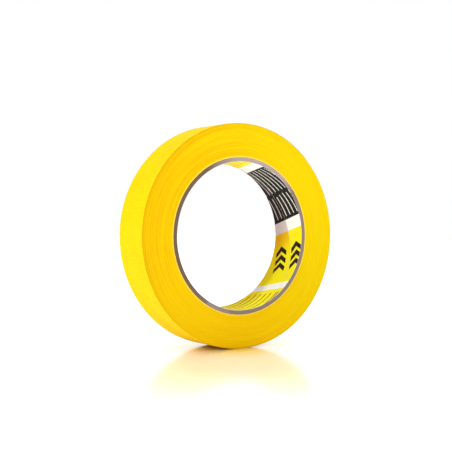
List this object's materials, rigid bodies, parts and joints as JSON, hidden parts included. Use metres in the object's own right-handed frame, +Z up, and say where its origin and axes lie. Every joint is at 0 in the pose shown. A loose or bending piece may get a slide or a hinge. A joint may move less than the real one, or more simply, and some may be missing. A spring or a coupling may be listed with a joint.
{
  "type": "masking tape roll",
  "caption": "Roll of yellow crepe masking tape wound on a spiral paper core, standing on its rim, with a free end that peels up.",
  "frame": {"origin": "the point of the rim that the roll stands on, half way across its width", "axes": "+Y along the roll's axis, from the front face to the back face; +Z up; +X to the right as seen from the front"},
  "size_m": [0.1153, 0.024, 0.1153],
  "materials": {
    "crepe_tape": "matte",
    "core_board": "matte",
    "liner_paper": "satin"
  },
  "bodies": {
    "roll": {"core_printed_liner": "liner_paper", "core_first_board_ply": "core_board", "core_second_board_ply": "core_board", "core_third_board_ply": "core_board", "core_fourth_board_ply": "core_board", "tape_first_lap": "crepe_tape", "tape_winding": "crepe_tape", "tape_outer_lap": "crepe_tape"},
    "free_end": {"tape_free_end": "crepe_tape"}
  },
  "joints": [
    {"name": "free_end_peel", "type": "hinge", "parent": "roll", "child": "free_end", "pos_m": [0.01495, 0, 0.1134], "axis": [0, -1, 0], "range_deg": [0, 90]}
  ]
}
